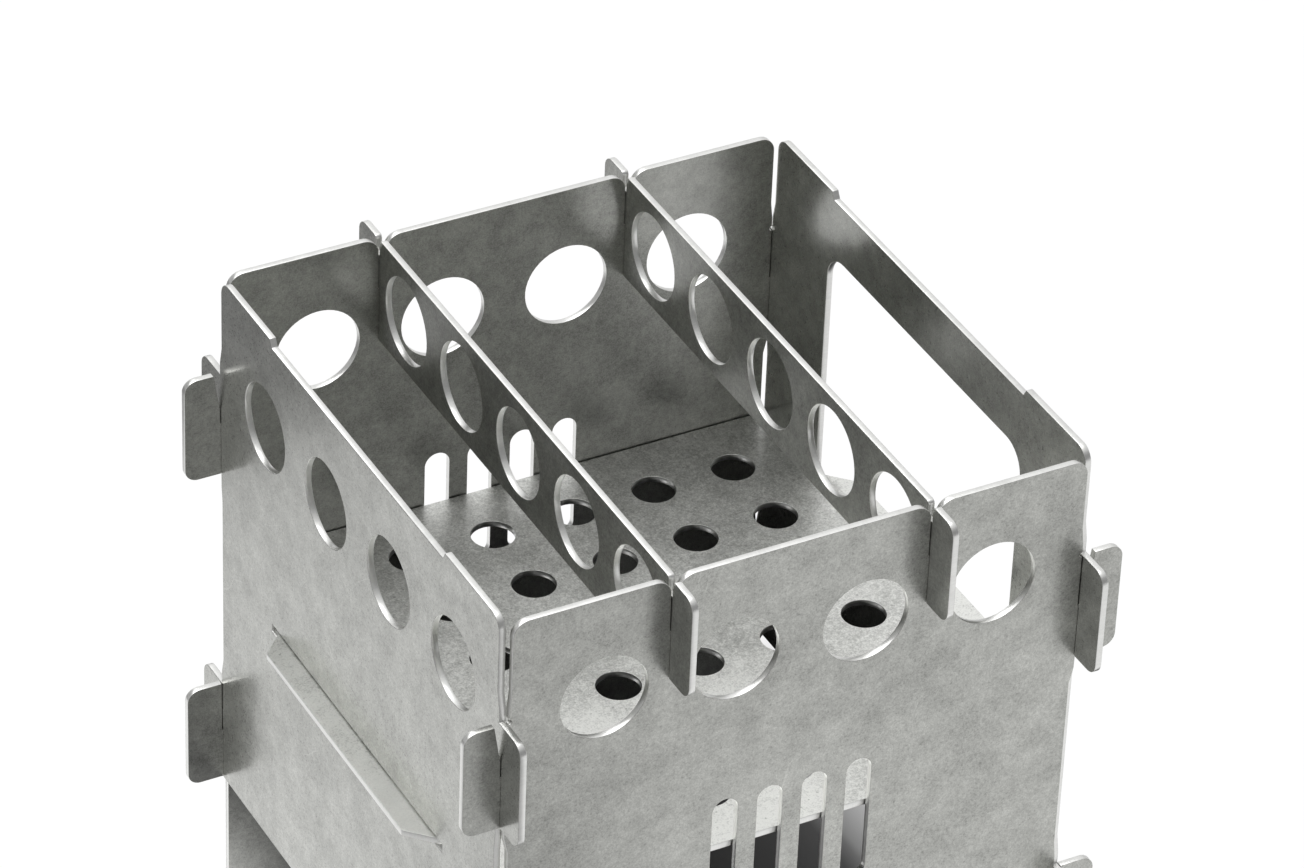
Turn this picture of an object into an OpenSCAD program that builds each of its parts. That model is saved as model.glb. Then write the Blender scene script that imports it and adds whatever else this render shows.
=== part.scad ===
// Flat-pack twig stove: seven laser-cut steel sheets that slot together without fasteners.
// Two walls stand on the ground. Two side sheets drop over them at the corners with halving joints.
// The fire grate lies in the side sheets, and two crossbars for the pot drop into the walls from above.
// Origin: middle of the footprint, on the ground. X runs to the right, Y to the back, Z up.

/* [Firebox] */
// Width of the box over its outer faces, left to right
box_w = 136; // [130:1:160]
// Depth of the box over its outer faces, front to back
box_d = 136; // [132:1:160]
// Height of the front and back walls, which stand on the ground
wall_h = 170; // [160:1:200]
// Thickness of every sheet
sheet = 1.5; // [1:0.1:2]
// Gap between a sheet and each wall of the slot it sits in
slot_gap = 0.15; // [0.1:0.05:0.25]
// How far the upright edges stay inside the outer faces
edge_inset = 2.1; // [2:0.05:2.5]
// Radius of the sheets' top corners
corner_r = 3.5; // [1:0.5:6]

/* [Corner tabs] */
// How far a tab stands out past the outer face
tab_out = 8.4; // [6:0.1:12]
// Height of a tab
tab_h = 26; // [20:0.5:28]
// Depth of the upper tabs' top edge below the top of the walls
tab_drop = 24.6; // [20:0.1:27]
// Radius of a tab's outer corners
tab_r = 3; // [1:0.5:4]
// Width that the upper slots of the walls flare out by at the mouth
flare_w = 1.45; // [0.5:0.05:2]
// Depth of that flare
flare_h = 9; // [4:0.5:9.5]
// Radius of the small relief bite in the upper slots of the walls
relief_r = 0.6; // [0.4:0.05:0.8]

/* [Walls] */
// How far the legs' edges stay inside the outer faces
leg_inset = 1.3; // [0.5:0.1:2]
// Diameter of the air holes
air_hole_d = 20; // [14:0.5:22]
// Distance between neighbouring air holes
air_hole_pitch = 30; // [28:0.5:31]
// Depth of the walls' air holes below the top edge
wall_hole_drop = 24.8; // [20:0.1:28]
// Number of upright vent slots in the middle of each wall
vent_count = 4; // [1:1:6]
// Width of a vent slot
vent_w = 6; // [4:0.5:8]
// Height of a vent slot, end to end
vent_l = 32; // [20:1:44]
// Distance between neighbouring vent slots
vent_pitch = 10.5; // [10:0.5:14]
// Height of the middle of the vents above the grate's top, negative below it
vent_rise = -3; // [-12:1:4]

/* [Side sheets] */
// Height of the side sheets' lower edge above the ground
side_lift = 36; // [30:1:50]
// How far the side sheets' ends stand above the walls
side_rise = 0.4; // [0:0.1:1]
// Depth of the long recess in their top edge
recess_h = 1.8; // [0.5:0.1:3]
// Length of that recess, measured halfway up its end slopes
recess_l = 82; // [60:1:100]
// Run of the recess's end slopes
recess_run = 1; // [0.5:0.1:3]
// Depth of the left sheet's air holes below its ends
side_hole_drop = 24.3; // [20:0.1:28]
// Depth of the feed window's top edge below the ends
window_drop = 15.7; // [12:0.1:30]
// Radius of the feed window's top corners
window_r = 6.5; // [2:0.5:12]

/* [Grate] */
// Depth of the grate's top below the top of the walls
grate_drop = 74; // [60:1:90]
// Gap around the grate inside the box
grate_gap = 0.35; // [0.3:0.05:0.9]
// Width of the grate's side tabs where they leave the box
grate_tab_w = 79.5; // [60:0.5:100]
// How far those tabs reach past the outer faces
grate_tab_out = 5.15; // [3:0.05:8]
// Gap at each end of the tabs in the slot and in the window
grate_end_gap = 1.95; // [0.4:0.05:3]
// Headroom above the tab in the left sheet's slot
grate_headroom = 0.6; // [0.6:0.05:1.2]
// How far the left sheet's holes and slot, and the tab in that slot, lie towards the front
left_offset = 1.1; // [0:0.1:2]
// Diameter of the grate's holes
grate_hole_d = 10; // [6:0.5:12]
// Distance between neighbouring grate holes
grate_hole_pitch = 20; // [16:0.5:22]
// Radius of the grate's corners
grate_r = 2; // [0.5:0.5:4]

/* [Crossbars] */
// Distance between the middles of the two crossbars
bar_spacing = 59.6; // [50:0.2:66]
// Depth of a crossbar's top edge below the top of the walls
bar_drop = 0.4; // [0:0.1:3]
// Height of a crossbar inside the box
bar_h = 25.9; // [24:0.1:32]
// Height of the hooks outside the box
hook_h = 24.4; // [18:0.1:25]
// How far the hooks reach past the outer faces
hook_out = 8.6; // [6:0.1:12]
// Radius of the hooks' outer corners
hook_r = 3; // [1:0.5:5]
// Depth of the walls' notches for the crossbars
notch_h = 13; // [8:0.5:16]
// Radius of the rounded shoulders at a notch's mouth
notch_r = 3.5; // [1:0.5:5]
// Depth of the short slots in a crossbar's top edge, right over the walls
bar_slot_h = 3.9; // [2:0.1:8]
// Radius of the rounded shoulders at such a slot's mouth
bar_slot_r = 0.9; // [0.5:0.1:3]
// Diameter of the holes in the crossbars
bar_hole_d = 20; // [12:0.5:20]
// Distance between neighbouring crossbar holes
bar_hole_pitch = 26.6; // [22:0.1:27]

/* [Hidden] */
$fn = 96;

// Overshoot of cuts past a face, and overlap of solids that join
past = 1;

outer_steel = [0.66, 0.66, 0.64];
grate_steel = [0.74, 0.74, 0.72];
bar_steel = [0.45, 0.45, 0.44];

slot_w = sheet + 2 * slot_gap;

// Distances measured inwards from a sheet's outer corner line
slot_inner = sheet + slot_gap;
slot_outer = -slot_gap;
shoulder_inset = 1.2;

// The shoulder that swells out beside each tab: where its slope starts and ends
swell_start = 7.2;
swell_end = 3.2;

lower_tab_floor = side_lift;
lower_tab_top = lower_tab_floor + tab_h;
upper_tab_top = wall_h - tab_drop;
upper_tab_floor = upper_tab_top - tab_h;
tab_floors = [lower_tab_floor, upper_tab_floor];

side_top = wall_h + side_rise;
grate_top = wall_h - grate_drop;
grate_floor = grate_top - sheet;
grate_opening_w = grate_tab_w + 2 * grate_end_gap;
bar_top = wall_h - bar_drop;
notch_floor = wall_h - notch_h;

// Copies a flat shape to the other end of the sheet
module both_ends() {
    children();
    mirror([1, 0]) children();
}

// Stands a flat shape, drawn as width and height, across the box with its front face at y
module across(y) {
    translate([0, y + sheet, 0]) rotate([90, 0, 0]) linear_extrude(sheet) children();
}

// Stands a flat shape, drawn as depth and height, along the box with its left face at x
module along(x) {
    translate([x, 0, 0]) rotate([90, 0, 90]) linear_extrude(sheet) children();
}

// The waste outside a rounded upper right corner whose sharp point is at the origin
module corner_waste(r) {
    difference() {
        translate([-r, -r]) square(r + past);
        translate([-r, -r]) circle(r);
    }
}

// The waste outside a rounded lower right corner
module lower_corner_waste(r) {
    mirror([0, 1]) corner_waste(r);
}

// Outline points of a sheet's right edge, from the lower tab up to past the upper one.
// Beside each tab the edge swells out: to the inset named above over it, and below under it.
function tabbed_edge(half, above, below) = [
    [half - above, lower_tab_floor],
    [half - above, lower_tab_top + swell_end],
    [half - edge_inset, lower_tab_top + swell_start],
    [half - edge_inset, upper_tab_floor - swell_start],
    [half - below, upper_tab_floor - swell_end],
    [half - below, upper_tab_floor],
    [half - above, upper_tab_floor],
    [half - above, upper_tab_top + swell_end],
    [half - edge_inset, upper_tab_top + swell_start]
];

// Closes an outline whose right side is given from the bottom up
function mirrored_outline(points) = concat(
    points,
    [for (i = [len(points) - 1 : -1 : 0]) [-points[i].x, points[i].y]]
);

// The strips that end in a sheet's four tabs
module tab_strips(half) {
    for (floor_z = tab_floors)
        translate([-half - tab_out, floor_z]) square([2 * (half + tab_out), tab_h]);
}

// The waste outside the rounded corners of the right-hand tabs
module tab_corners(half) {
    for (floor_z = tab_floors) {
        translate([half + tab_out, floor_z + tab_h]) corner_waste(tab_r);
        translate([half + tab_out, floor_z]) lower_corner_waste(tab_r);
    }
}

// Half of a halving joint, cut from the tab's middle through its open side
module halving_slot(half, floor_z, opens_up) {
    start_z = opens_up ? floor_z + tab_h / 2 : floor_z - past;
    translate([half - slot_inner, start_z]) square([slot_w, tab_h / 2 + past]);
}

// The flared mouth of an upper wall slot, with the relief bite in its inner edge
module slot_mouth(half) {
    polygon([
        [half - slot_outer - slot_gap, upper_tab_top - flare_h],
        [half - slot_outer, upper_tab_top - flare_h],
        [half - slot_outer + flare_w, upper_tab_top],
        [half - slot_outer + flare_w, upper_tab_top + past],
        [half - slot_outer - slot_gap, upper_tab_top + past]
    ]);
    translate([half - slot_inner, upper_tab_top + relief_r / 2]) circle(relief_r);
}

// A slot that is open at the top, with rounded shoulders at its mouth
module open_slot(x, top, depth, mouth_r) {
    translate([x - slot_w / 2, top - depth]) square([slot_w, depth + past]);
    translate([x - slot_w / 2, top]) corner_waste(mouth_r);
    translate([x + slot_w / 2, top]) mirror([1, 0]) corner_waste(mouth_r);
}

// A row of four air holes, centred
module air_holes(z) {
    for (i = [-1.5 : 1 : 1.5])
        translate([i * air_hole_pitch, z]) circle(d = air_hole_d);
}

// One slot with round ends, centred and upright
module vent_slot() {
    half_run = (vent_l - vent_w) / 2;
    translate([-vent_w / 2, -half_run]) square([vent_w, 2 * half_run]);
    for (side = [-1, 1]) translate([0, side * half_run]) circle(d = vent_w);
}

// A row of upright slots that let air in above and below the grate
module vents() {
    for (i = [0 : vent_count - 1])
        translate([(i - (vent_count - 1) / 2) * vent_pitch, grate_top + vent_rise]) vent_slot();
}

// The front and back walls are the same sheet
module wall_shape() {
    half = box_w / 2;
    difference() {
        union() {
            polygon(mirrored_outline(concat(
                [[half - leg_inset, 0], [half - leg_inset, lower_tab_floor]],
                tabbed_edge(half, slot_inner, shoulder_inset),
                [[half - edge_inset, wall_h]]
            )));
            tab_strips(half);
        }
        both_ends() {
            tab_corners(half);
            for (floor_z = tab_floors) halving_slot(half, floor_z, true);
            slot_mouth(half);
            translate([half - edge_inset, wall_h]) corner_waste(corner_r);
            open_slot(bar_spacing / 2, wall_h, notch_h, notch_r);
        }
        air_holes(wall_h - wall_hole_drop);
        vents();
    }
}

module front_panel() {
    color(outer_steel) across(-box_d / 2) wall_shape();
}

module back_panel() {
    color(outer_steel) across(box_d / 2 - sheet) wall_shape();
}

// The outline shared by the two side sheets
module side_shape() {
    half = box_d / 2;
    difference() {
        union() {
            polygon(mirrored_outline(concat(
                tabbed_edge(half, shoulder_inset, slot_inner),
                [[half - edge_inset, side_top]]
            )));
            tab_strips(half);
        }
        both_ends() {
            tab_corners(half);
            for (floor_z = tab_floors) halving_slot(half, floor_z, false);
            translate([half - edge_inset, side_top]) corner_waste(corner_r);
            top_recess();
        }
    }
}

// Half of the long recess in a side sheet's top edge
module top_recess() {
    polygon([
        [-past, side_top - recess_h],
        [(recess_l - recess_run) / 2, side_top - recess_h],
        [(recess_l + recess_run) / 2, side_top],
        [(recess_l + recess_run) / 2, side_top + past],
        [-past, side_top + past]
    ]);
}

// The left sheet has air holes and a slot for the grate's tab
module left_panel() {
    color(outer_steel) along(-box_w / 2) difference() {
        side_shape();
        translate([-left_offset, 0]) {
            air_holes(side_top - side_hole_drop);
            translate([-grate_opening_w / 2, grate_floor])
                square([grate_opening_w, sheet + grate_headroom]);
        }
    }
}

// The right sheet has the window that twigs are fed through. The grate's tab lies on its sill.
module right_panel() {
    window_top = side_top - window_drop;
    color(outer_steel) along(box_w / 2 - sheet) difference() {
        side_shape();
        difference() {
            translate([-grate_opening_w / 2, grate_floor])
                square([grate_opening_w, window_top - grate_floor]);
            both_ends() translate([grate_opening_w / 2, window_top]) corner_waste(window_r);
        }
    }
}

// The strip that ends in the grate's two side tabs. Their bevels start at the inner faces, and
// the left tab follows the left sheet's slot.
module grate_tabs() {
    inner = box_w / 2 - sheet;
    tip = box_w / 2 + grate_tab_out;
    root_w = grate_tab_w / 2;
    tip_w = root_w - (tip - inner);
    polygon([
        [-tip, -tip_w - left_offset], [-inner, -root_w - left_offset],
        [inner, -root_w], [tip, -tip_w], [tip, tip_w], [inner, root_w],
        [-inner, root_w - left_offset], [-tip, tip_w - left_offset]
    ]);
}

module fire_grate() {
    half_w = box_w / 2 - sheet - grate_gap;
    half_d = box_d / 2 - sheet - grate_gap;
    color(grate_steel) translate([0, 0, grate_floor]) linear_extrude(sheet) difference() {
        union() {
            difference() {
                translate([-half_w, -half_d]) square([2 * half_w, 2 * half_d]);
                both_ends() {
                    translate([half_w, half_d]) corner_waste(grate_r);
                    translate([half_w, -half_d]) lower_corner_waste(grate_r);
                }
            }
            grate_tabs();
        }
        for (i = [-2.5 : 1 : 2.5]) for (j = [-2.5 : 1 : 2.5])
            translate([i * grate_hole_pitch, j * grate_hole_pitch]) circle(d = grate_hole_d);
    }
}

// A crossbar hooks over both walls. Its deep slots meet the walls' notches halfway, and short
// ones in its top edge lie right over the walls.
module crossbar_shape() {
    half = box_d / 2;
    difference() {
        both_ends() {
            translate([-past, bar_top - bar_h]) square([half - slot_inner + past, bar_h]);
            translate([half - slot_inner - past, notch_floor])
                square([slot_w + 2 * past, bar_top - notch_floor]);
            difference() {
                translate([half + slot_gap, bar_top - hook_h]) square([hook_out - slot_gap, hook_h]);
                translate([half + hook_out, bar_top]) corner_waste(hook_r);
                translate([half + hook_out, bar_top - hook_h]) lower_corner_waste(hook_r);
            }
        }
        both_ends() open_slot(half - sheet / 2, bar_top, bar_slot_h, bar_slot_r);
        for (i = [-2 : 2])
            translate([i * bar_hole_pitch, bar_top - bar_h / 2]) circle(d = bar_hole_d);
    }
}

module left_crossbar() {
    color(bar_steel) along(-bar_spacing / 2 - sheet / 2) crossbar_shape();
}

module right_crossbar() {
    color(bar_steel) along(bar_spacing / 2 - sheet / 2) crossbar_shape();
}

front_panel();
back_panel();
left_panel();
right_panel();
fire_grate();
left_crossbar();
right_crossbar();
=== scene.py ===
import math

import bmesh
import bpy
from mathutils import Matrix, Vector


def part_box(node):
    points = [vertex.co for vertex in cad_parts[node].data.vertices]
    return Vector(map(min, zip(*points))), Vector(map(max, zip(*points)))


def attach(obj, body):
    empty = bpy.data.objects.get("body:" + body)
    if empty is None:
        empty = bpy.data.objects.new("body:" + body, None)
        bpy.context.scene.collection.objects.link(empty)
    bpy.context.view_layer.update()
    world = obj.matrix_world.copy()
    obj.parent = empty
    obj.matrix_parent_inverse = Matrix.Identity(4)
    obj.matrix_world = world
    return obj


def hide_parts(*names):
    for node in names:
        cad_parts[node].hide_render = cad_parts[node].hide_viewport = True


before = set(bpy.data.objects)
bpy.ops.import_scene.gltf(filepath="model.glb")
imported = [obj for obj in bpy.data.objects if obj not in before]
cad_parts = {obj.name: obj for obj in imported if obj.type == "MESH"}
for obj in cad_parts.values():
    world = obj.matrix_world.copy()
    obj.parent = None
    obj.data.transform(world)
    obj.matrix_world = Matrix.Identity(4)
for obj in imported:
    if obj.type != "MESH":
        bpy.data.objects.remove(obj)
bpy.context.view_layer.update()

# Front and back walls. Two equal sheets of 1.5 mm stainless steel stand on the ground
# with a laser-cut outline: air holes, vent slots, notches for the crossbars and tabs with
# halving slots. The sheet keeps its dull rolled skin, and tumbling has broken the cut edges.

ARRIS = 0.00013  # how far tumbling has worn a cut edge back, in metres
ARRIS_STEPS = 2
SAME_POINT = 1e-6  # corners of the solid closer than this are one corner
ONE_PLANE = math.radians(0.2)  # neighbouring faces within this angle are one flat face
CUT_FOLD = math.radians(35)  # a sharper fold than this is a cut edge
SKIN_TILT = 0.99  # a face whose normal points at least this far through the sheet is skin
FLAT_TILT = 0.9999  # and from here on it is shaded flat


def cut_sheet(node, body, skin):
    """Stands in for a sheet's solid: the same sheet with its cut edges broken."""
    work = bmesh.new()
    work.from_mesh(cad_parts[node].data)
    bmesh.ops.remove_doubles(work, verts=work.verts, dist=SAME_POINT)
    bmesh.ops.dissolve_limit(
        work,
        angle_limit=ONE_PLANE,
        use_dissolve_boundaries=False,
        verts=work.verts,
        edges=work.edges,
        delimit=set(),
    )
    low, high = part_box(node)
    thin = min(range(3), key=lambda axis: high[axis] - low[axis])
    for face in work.faces:
        face.material_index = 0 if abs(face.normal[thin]) > SKIN_TILT else 1
    rims = [edge for edge in work.edges if edge.calc_face_angle(0) > CUT_FOLD]
    bmesh.ops.bevel(
        work,
        geom=rims,
        offset=ARRIS,
        offset_type="OFFSET",
        affect="EDGES",
        segments=ARRIS_STEPS,
        profile=0.5,
        material=-1,
        loop_slide=False,
        clamp_overlap=True,
    )
    for face in work.faces:
        face.smooth = abs(face.normal[thin]) < FLAT_TILT
    mesh = bpy.data.meshes.new(node + "_sheet")
    work.to_mesh(mesh)
    work.free()
    mesh.materials.append(skin)
    mesh.materials.append(cuts[thin])
    sheet = bpy.data.objects.new(node + "_sheet", mesh)
    bpy.context.scene.collection.objects.link(sheet)
    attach(sheet, body)
    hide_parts(node)


class Reading:
    """A value that nodes work out over a surface. Sums and products of readings add nodes."""

    def __init__(self, tree, socket):
        self.tree = tree
        self.socket = socket

    def maths(self, operation, left, right):
        node = self.tree.nodes.new("ShaderNodeMath")
        node.operation = operation
        for socket, value in zip(node.inputs, (left, right)):
            if isinstance(value, Reading):
                self.tree.links.new(value.socket, socket)
            else:
                socket.default_value = value
        return Reading(self.tree, node.outputs[0])

    def __add__(self, other):
        return self.maths("ADD", self, other)

    def __radd__(self, other):
        return self.maths("ADD", other, self)

    def __sub__(self, other):
        return self.maths("SUBTRACT", self, other)

    def __rsub__(self, other):
        return self.maths("SUBTRACT", other, self)

    def __mul__(self, other):
        return self.maths("MULTIPLY", self, other)

    def __rmul__(self, other):
        return self.maths("MULTIPLY", other, self)

    def larger(self, other):
        return self.maths("MAXIMUM", self, other)

    def smaller(self, other):
        return self.maths("MINIMUM", self, other)

    def size(self):
        return self.maths("ABSOLUTE", self, 0.0)


class Nodes:
    """A node tree, built up from nothing."""

    def __init__(self, tree):
        self.tree = tree
        tree.nodes.clear()

    def node(self, kind, settings, values, output=0):
        """Adds one node and returns one of its outputs."""
        node = self.tree.nodes.new("ShaderNode" + kind)
        for name, setting in settings.items():
            setattr(node, name, setting)
        for name, value in values.items():
            if isinstance(name, int):
                socket = node.inputs[name]
            else:
                socket = next(s for s in node.inputs if name in (s.identifier, s.name))
            if isinstance(value, Reading):
                self.tree.links.new(value.socket, socket)
            else:
                socket.default_value = value
        return Reading(self.tree, node.outputs[output])

    def place(self):
        """The object's own coordinates."""
        return self.node("TexCoord", {}, {}, output=3)

    def axis(self, place, index):
        """One of a place's three coordinates."""
        return self.node("SeparateXYZ", {}, {"Vector": place}, output=index)

    def along_arrow(self, place, arrow):
        """How far a place lies the way that an arrow points."""
        return self.node(
            "VectorMath", {"operation": "DOT_PRODUCT"}, {0: place, 1: arrow}, output=1
        )

    def cloud(self, place, scale, detail=2.0, rough=0.5):
        """Smooth noise around zero, with features of about 1 / scale metres."""
        noise = self.node(
            "TexNoise",
            {"noise_dimensions": "3D"},
            {"Vector": place, "Scale": scale, "Detail": detail, "Roughness": rough},
        )
        return noise - 0.5

    def cells(self, place, scale, feature, output=0):
        """Random cells: the distance to their middles or borders, or a value for each cell."""
        return self.node(
            "TexVoronoi",
            {"feature": feature},
            {"Vector": place, "Scale": scale, "Randomness": 1.0},
            output=output,
        )

    def fade(self, value, start, end, first=0.0, last=1.0):
        """The first level up to start, the last one from end on, and a soft step between."""
        limits = {"From Min": start, "From Max": end, "To Min": first, "To Max": last}
        return self.node(
            "MapRange", {"interpolation_type": "SMOOTHSTEP"}, {"Value": value, **limits}
        )

    def blend(self, amount, dark, light):
        """A colour between two."""
        ends = {"A_Color": (*dark, 1), "B_Color": (*light, 1)}
        return self.node("Mix", {"data_type": "RGBA"}, {"Factor_Float": amount, **ends}, output=2)

    def close(self, kind, shader):
        """Links a shader to the tree's output."""
        end = self.tree.nodes.new("ShaderNodeOutput" + kind)
        self.tree.links.new(shader.socket, end.inputs["Surface"])


class Finish(Nodes):
    """A surface finish."""

    def __init__(self, name):
        self.material = bpy.data.materials.new(name)
        self.material.use_nodes = True
        super().__init__(self.material.node_tree)

    def done(self, shader):
        self.close("Material", shader)
        return self.material


# Features of the skin and the cut edges, by how many of them there are to a metre.
GRAIN = 2600
FLECK = 1150
PIT = 620
STAIN = 170
SCRATCH_PATCH = 60
SCRATCH_BEND = 45.0
CLOUD = 38
SCRATCH = 31
SMUDGE = 21
RIDGE = 2600
WEAR = 260

BEND_REACH = 0.006  # how far a scratch strays from a straight line, in metres
BUMP_HEIGHT = 0.00001
MIDDLE_TONE = 0.5

# Edges of the parts of the grate that are painted lighter, as painted light, in metres: the
# tabs outside of the side sheets, and the front left of the grate.
TAB_ROOT = (0.0675, 0.0685)
SWEPT_BACK = (0.0, -0.03)
SWEPT_RIGHT = (0.04, 0.0)


def rolled_skin(
    name, dark, light, haze, gloss=0.16, clear_part=0.3, mottle=1.0, pitted=0.2, clean=0.0
):
    """Mill skin pickled to a dull grey: it mirrors what is near, under a wide haze, and is
    mottled, stained and lightly scratched. It can have painted light: a lighter colour on the
    tabs outside of the walls and in the front left corner."""
    finish = Finish(name)
    place = finish.place()
    grain = finish.cloud(place, GRAIN, detail=2.0, rough=0.75)
    fleck = finish.cloud(place, FLECK, detail=3.0, rough=0.65)
    stain = finish.cloud(place, STAIN, detail=4.0, rough=0.65)
    cloud = finish.cloud(place, CLOUD, detail=3.0, rough=0.55)
    pits = finish.fade(finish.cells(place, PIT, "F1"), 0.24, 0.1)
    pits = pits * finish.fade(finish.cells(place, PIT, "F1", output=1), 0.55, 0.65)
    bend = finish.node("TexNoise", {}, {"Vector": place, "Scale": SCRATCH_BEND}, output=1)
    bent = finish.node(
        "VectorMath", {"operation": "MULTIPLY_ADD"}, {0: bend, 1: (BEND_REACH,) * 3, 2: place}
    )
    scratches = finish.fade(finish.cells(bent, SCRATCH, "DISTANCE_TO_EDGE"), 0.0035, 0.001)
    patches = finish.cloud(place, SCRATCH_PATCH, detail=1.0)
    scratches = scratches * finish.fade(patches, 0.06, 0.1)
    smudges = finish.fade(finish.cloud(place, SMUDGE, detail=5.0, rough=0.6), 0.1, 0.2)
    across = finish.axis(place, 0)
    # Painted light: the tabs outside of the side sheets and the front left corner are lighter.
    tabs = finish.fade(across.size(), *TAB_ROOT)
    swept = finish.fade(finish.axis(place, 1), *SWEPT_BACK) * finish.fade(across, *SWEPT_RIGHT)
    tone = (
        MIDDLE_TONE
        + grain * mottle
        + fleck * mottle
        + stain * 0.9
        + cloud * 0.5
        + scratches * 0.22
        - pits * pitted
        - smudges * 0.1
        + (tabs + swept * 1.1) * clean
    )
    bump = finish.node(
        "Bump",
        {},
        {"Strength": 0.1, "Distance": BUMP_HEIGHT, "Height": grain + fleck * 1.5},
    )
    steel = {"Base Color": finish.blend(tone, dark, light), "Metallic": 1.0, "Normal": bump}
    dull = finish.node(
        "BsdfPrincipled", {}, {**steel, "Roughness": haze + grain * 0.15 + fleck * 0.15}
    )
    mirror = finish.node("BsdfPrincipled", {}, {**steel, "Roughness": gloss})
    part = clear_part - grain * 0.3 - stain * 0.2
    return finish.done(finish.node("MixShader", {}, {"Fac": part, 1: dull, 2: mirror}))


CUT_DARK = (0.78, 0.783, 0.765)
CUT_LIGHT = (0.98, 0.98, 0.96)
CUT_HAZE = 0.32
RIDGE_SQUEEZE = 0.15  # squeezes the noise's place, which draws ridges out from face to face


def laser_cut(name, thin):
    """Cut edge: clean bright metal with the beam's ridges from face to face, worn by tumbling."""
    finish = Finish(name)
    place = finish.place()
    squeeze = [RIDGE_SQUEEZE if axis == thin else 1.0 for axis in range(3)]
    drawn = finish.node("VectorMath", {"operation": "MULTIPLY"}, {0: place, 1: squeeze})
    ridges = finish.cloud(drawn, RIDGE, detail=2.0, rough=0.6)
    wear = finish.cloud(place, WEAR, detail=3.0, rough=0.6)
    tone = finish.blend(MIDDLE_TONE + ridges * 0.8 + wear * 1.1, CUT_DARK, CUT_LIGHT)
    bump = finish.node(
        "Bump", {}, {"Strength": 0.4, "Distance": BUMP_HEIGHT, "Height": ridges + wear}
    )
    rough = CUT_HAZE + wear * 0.12
    steel = {"Base Color": tone, "Metallic": 1.0, "Roughness": rough, "Normal": bump}
    return finish.done(finish.node("BsdfPrincipled", {}, steel))


SKIN_DARK = (0.305, 0.308, 0.292)
SKIN_LIGHT = (0.69, 0.696, 0.664)

skin = rolled_skin("rolled_stainless", SKIN_DARK, SKIN_LIGHT, haze=0.4, gloss=0.23)
cuts = [laser_cut("cut_stainless_" + axis, thin) for thin, axis in enumerate("xyz")]

for wall in ("front_panel", "back_panel"):
    cut_sheet(wall, "frame", skin)

# Side sheets. The same steel with four tabs each, dropped over the walls' tabs. The left one
# has air holes and a slot for the grate's tab, the right one a large window to feed twigs in.

bright_skin = rolled_skin("bright_stainless", SKIN_DARK, SKIN_LIGHT, haze=0.3)
cut_sheet("left_panel", "left_side", bright_skin)
cut_sheet("right_panel", "right_side", bright_skin)

# Fire grate. A drilled sheet whose tabs lie in the left sheet's slot and on the sill of the
# window. Ash and air pass through its holes, and the fire has mottled and pitted its skin.

GRATE_DARK = (0.47, 0.474, 0.456)
GRATE_LIGHT = (0.85, 0.856, 0.828)

# The grate is painted lighter on its tabs outside of the side sheets and at its front left, as
# painted light.
grate_skin = rolled_skin(
    "dull_stainless",
    GRATE_DARK,
    GRATE_LIGHT,
    haze=0.45,
    clear_part=0.12,
    mottle=1.7,
    pitted=0.6,
    clean=0.5,
)
cut_sheet("fire_grate", "grate", grate_skin)

# Crossbars. Two drilled strips hook over both walls in halving notches and carry the pot.

cut_sheet("left_crossbar", "left_bar", skin)
cut_sheet("right_crossbar", "right_bar", skin)

# Studio. A white floor with painted shadow and painted shade near the stove, under a white
# sky, with one large soft lamp overhead, and a long lens that looks down on the stove from its
# front left.

FLOOR_REACH = 9.0
FLOOR_SIDES = 96

floor_mesh = bpy.data.meshes.new("studio_floor")
work = bmesh.new()
bmesh.ops.create_circle(work, cap_ends=True, segments=FLOOR_SIDES, radius=FLOOR_REACH)
work.to_mesh(floor_mesh)
work.free()
floor = bpy.data.objects.new("studio_floor", floor_mesh)
bpy.context.scene.collection.objects.link(floor)

paper = Finish("paper_with_painted_shade")
camera_ray = paper.node("LightPath", {}, {}, output=0)
glossy_ray = paper.node("LightPath", {}, {}, output=3)
other_ray = 1 - camera_ray
spot = paper.place()
across = paper.axis(spot, 0)
along = paper.axis(spot, 1)
depth = along.size()


def ramp(value, start, end):
    """0 up to start, 1 from end on, and a straight slope between."""
    slope = (value - start) * (1 / (end - start))
    return slope.larger(0.0).smaller(1.0)


# The floor outside of the stove. It shows past the feet of the walls and in the gaps under
# both side sheets, and under the stove its colour is painted near black as a painted shadow.
# The camera sees a softer painted shadow around the right-hand corners, as the stove's own shade.
left_gap = ramp(across, -0.038, -0.072)
right_gap = ramp(across, 0.066, 0.072)
ends = ramp(depth, 0.066, 0.07)
outside = left_gap.larger(right_gap).larger(ends)
fringe = ramp(across, 0.07, 0.11).larger(ramp(depth, 0.07, 0.11))
fringe = fringe.larger(left_gap).larger(ends * ramp(across, 0.0, -0.04))
open_floor = camera_ray * fringe + other_ray * outside

# The steel mirrors this floor, which glows for it with painted shade: the glow is a little dimmer
# farther out, darkest in front of the left corner and in the stove's own painted shade at its
# feet and on the right, and painted darker beyond the far left.
away = paper.node("VectorMath", {"operation": "LENGTH"}, {"Vector": spot}, output=1)
bearing = paper.node("VectorMath", {"operation": "NORMALIZE"}, {"Vector": spot})
dusk = ramp(paper.along_arrow(bearing, (-0.8, -0.6, 0.0)), 0.45, 0.68)
dusk = dusk * (1 - 0.3 * ramp(along, -0.2, -0.12))
far_left = ramp(along, 0.215, 0.24) * ramp(across, -0.09, -0.13)
foot_shade = ramp(across.size().larger(depth), 0.105, 0.085) * (1 - 0.55 * ends)
right_shade = ramp(across, 0.0, 0.07) * ramp(across, 0.2, 0.15) * ramp(along, -0.1, -0.075)
unshaded = ramp(across, -0.03, -0.06) * ramp(along, 0.015, 0.04)
shade = foot_shade.larger(right_shade) * (1 - unshaded)
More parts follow.
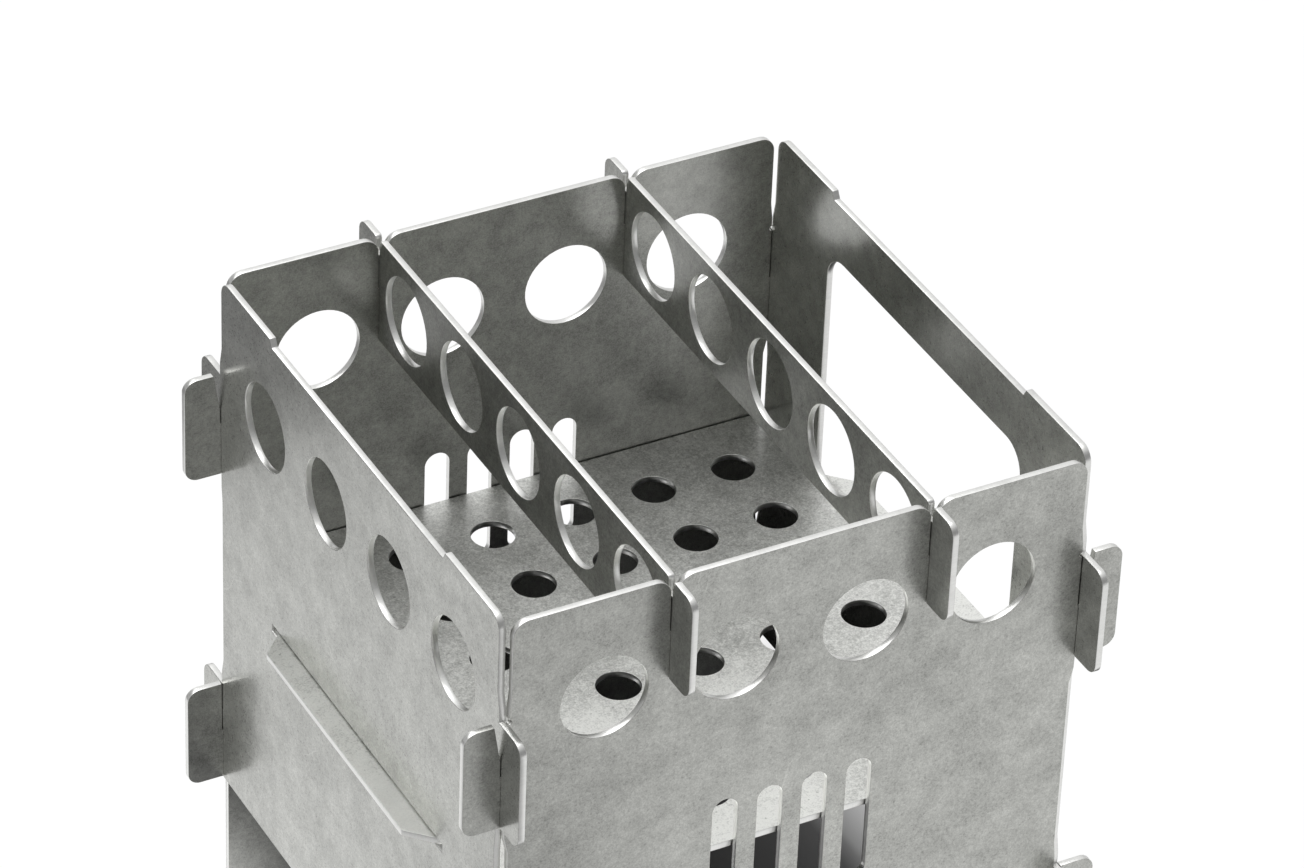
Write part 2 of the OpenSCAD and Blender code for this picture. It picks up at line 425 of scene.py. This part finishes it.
lit = 0.96 - 0.2 * ramp(away, 0.1, 0.3) - 0.43 * dusk
lit = lit * (1 - 0.7 * far_left) * (1 - 0.98 * shade)

PAPER_DARK = (0.012,) * 3
PAPER_LIGHT = (0.85,) * 3
BLACK = (0.0,) * 3
GLOW = (1.03,) * 3
PLAIN_WHITE = 0.95  # how much of the floor the camera sees as plain white, without shadows

shown = camera_ray * PLAIN_WHITE + other_ray * glossy_ray
# Painted shadow: the paper's colour is near black under the stove; the camera sees it dark grey
# there and grey just outside the stove's feet.
paper_grey = paper.blend(
    open_floor.larger(camera_ray * (0.16 + 0.25 * outside)), PAPER_DARK, PAPER_LIGHT
)
# The floor's glow: white for the camera, and with the painted shade of lit for the steel's
# reflections.
glow_grey = paper.blend(camera_ray + other_ray * lit, BLACK, GLOW)
shaders = {
    1: paper.node("BsdfDiffuse", {}, {"Color": paper_grey}),
    2: paper.node("Emission", {}, {"Color": glow_grey}),
}
floor_mesh.materials.append(
    paper.done(paper.node("MixShader", {}, {"Fac": shown * open_floor, **shaders}))
)

# The sky is brightest high at the back and dimmer at the back left. The camera sees it white.
SKY_TOP = (0.0, 0.6, 0.8)
SKY_DIM = (-0.5, 0.68, 0.53)

world = bpy.data.worlds.new("white_sky")
bpy.context.scene.world = world
world.use_nodes = True
sky = Nodes(world.node_tree)
look = sky.node("TexCoord", {}, {})
rise = sky.fade(sky.along_arrow(look, SKY_TOP), -0.1, 0.9, 0.25, 0.82)
dim = sky.fade(sky.along_arrow(look, SKY_DIM), 0.8, 0.97, 1.0, 0.4)
level = (rise * dim).larger(sky.node("LightPath", {}, {}))
sky.close("World", sky.node("Background", {}, {"Color": level}))

LAMP_PLACE = Vector((-0.3, 0.5, 1.65))
LAMP_AIM = Vector((0, 0, 0.1))
LAMP_WIDTH = 1.6
LAMP_POWER = 15

light = bpy.data.lights.new("overhead_box", "AREA")
light.shape = "SQUARE"
light.size = LAMP_WIDTH
light.energy = LAMP_POWER
lamp = bpy.data.objects.new("overhead_box", light)
lamp.location = LAMP_PLACE
lamp.rotation_euler = (LAMP_AIM - LAMP_PLACE).to_track_quat("-Z", "Y").to_euler()
bpy.context.scene.collection.objects.link(lamp)

# The camera's own axes and place, solved from the sheets' corners and holes.
eye = Vector((-0.52622, -0.94844, 0.92217))
right = Vector((0.885013, -0.464307, 0.034218))
ahead = Vector((0.396311, 0.712755, -0.578720))
up = right.cross(ahead)
lens_data = bpy.data.cameras.new("studio_camera")
lens_data.sensor_width = 36
lens_data.lens = 174.907
lens_data.clip_start, lens_data.clip_end = 0.05, 50
camera = bpy.data.objects.new("studio_camera", lens_data)
camera.matrix_world = Matrix.Translation(eye) @ Matrix((right, up, -ahead)).transposed().to_4x4()
bpy.context.scene.collection.objects.link(camera)
bpy.context.scene.camera = camera

bpy.context.scene.view_settings.view_transform = "Standard"

bpy.context.view_layer.update()
